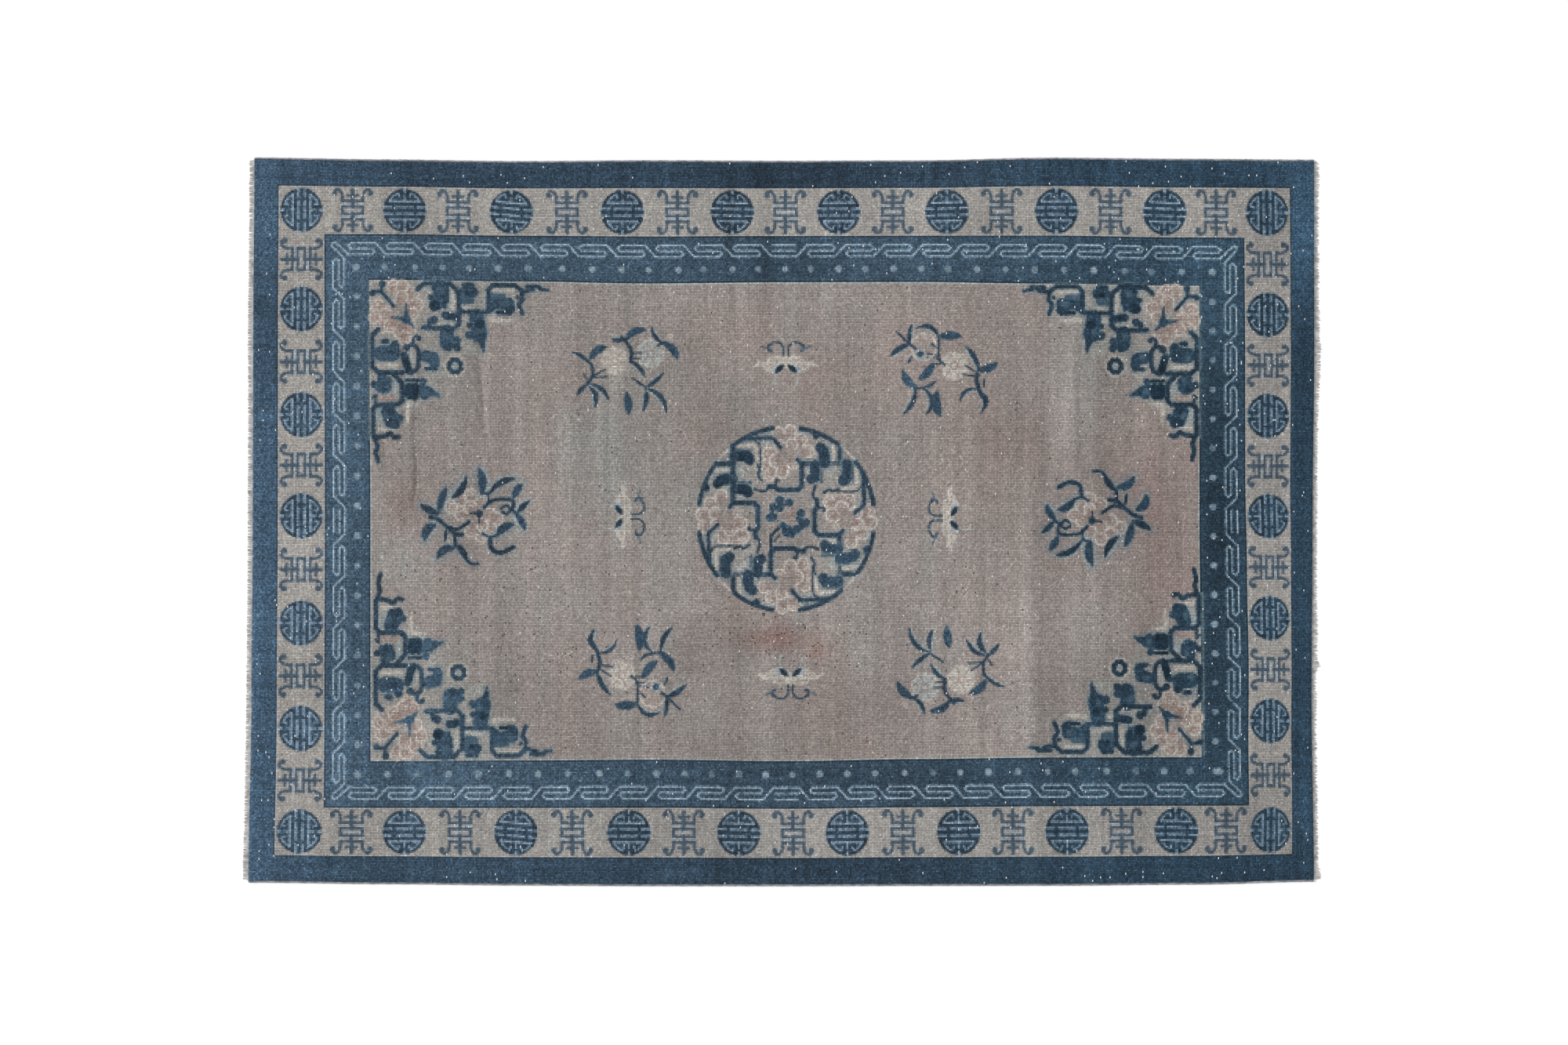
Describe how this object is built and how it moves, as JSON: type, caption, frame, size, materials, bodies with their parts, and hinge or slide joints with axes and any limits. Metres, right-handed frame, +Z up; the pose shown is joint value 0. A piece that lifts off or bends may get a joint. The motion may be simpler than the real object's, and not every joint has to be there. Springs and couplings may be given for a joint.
{
  "type": "rug",
  "caption": "Worn low-pile wool rug lying flat: blue bordered ground with roundels and key chain, pale field with flower sprays and a round medallion, overcast long edges, short cut warp ends",
  "frame": {"origin": "centre of the rug's footprint, on the ground under it", "axes": "+X along the rug's length, +Y across its width towards the picture's upper edge, +Z up"},
  "size_m": [2.8046, 1.8972, 0.0085],
  "materials": {
    "pile_wool": "worn low wool pile, matt with a faint sheen",
    "selvage_yarn": "matt overcast wool yarn",
    "warp_cotton": "matt undyed cotton"
  },
  "bodies": {
    "root": {"rug_body": "pile_wool", "selvage_near": "selvage_yarn", "selvage_far": "selvage_yarn", "warp_ends_left": "warp_cotton", "warp_ends_right": "warp_cotton"}
  },
  "joints": []
}
